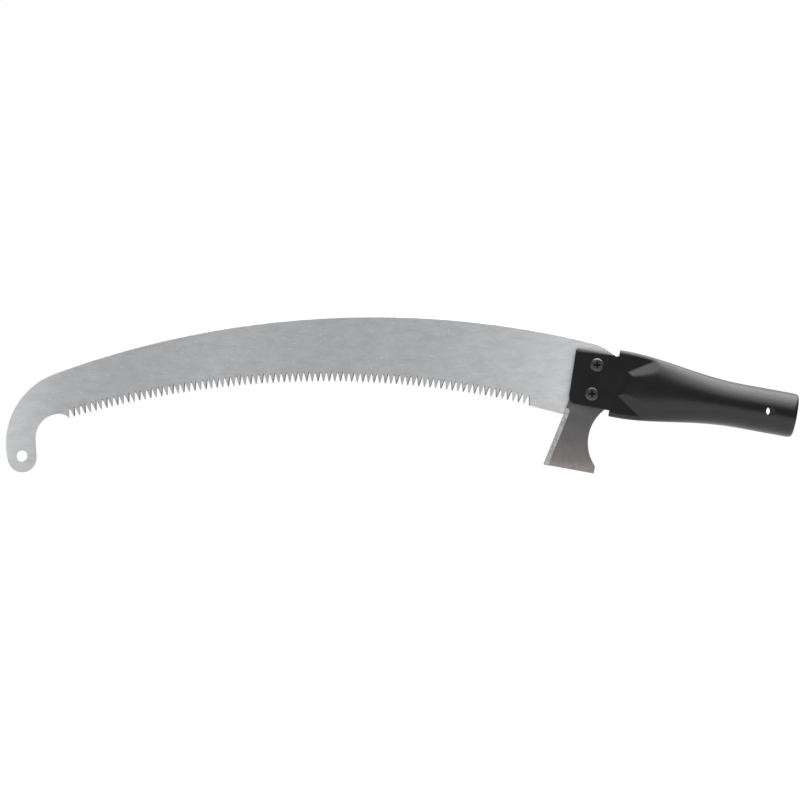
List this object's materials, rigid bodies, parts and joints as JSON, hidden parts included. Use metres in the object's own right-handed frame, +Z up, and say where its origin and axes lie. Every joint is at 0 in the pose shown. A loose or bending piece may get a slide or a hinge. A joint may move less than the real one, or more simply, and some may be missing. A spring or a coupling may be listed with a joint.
{
  "type": "pole saw head",
  "caption": "Pole saw head: curved toothed blade with a hooked tip and an undercut knife, bolted between the cheeks of a flattened black tube socket that fits on a pole.",
  "frame": {"origin": "centre of the round socket's open mouth", "axes": "+X along the socket's axis, the way the pole leaves; the blade reaches along -X; +Z up, with the teeth pointing down; the screw heads face -Y"},
  "size_m": [0.5791, 0.033, 0.1733],
  "materials": {
    "blade_steel": "satin ground steel",
    "knife_steel": "dark oiled steel, ground bright along its edge",
    "black_paint": "semi-gloss black enamel",
    "blackened_steel": "dark zinc plating",
    "zinc_steel": "dull zinc plating"
  },
  "bodies": {
    "root": {"saw_blade": "blade_steel", "undercut_knife": "knife_steel", "pole_socket": "black_paint", "upper_screw": "blackened_steel", "lower_screw": "blackened_steel", "upper_lock_washer": "zinc_steel", "lower_lock_washer": "zinc_steel", "upper_nut": "zinc_steel", "lower_nut": "zinc_steel"}
  },
  "joints": []
}
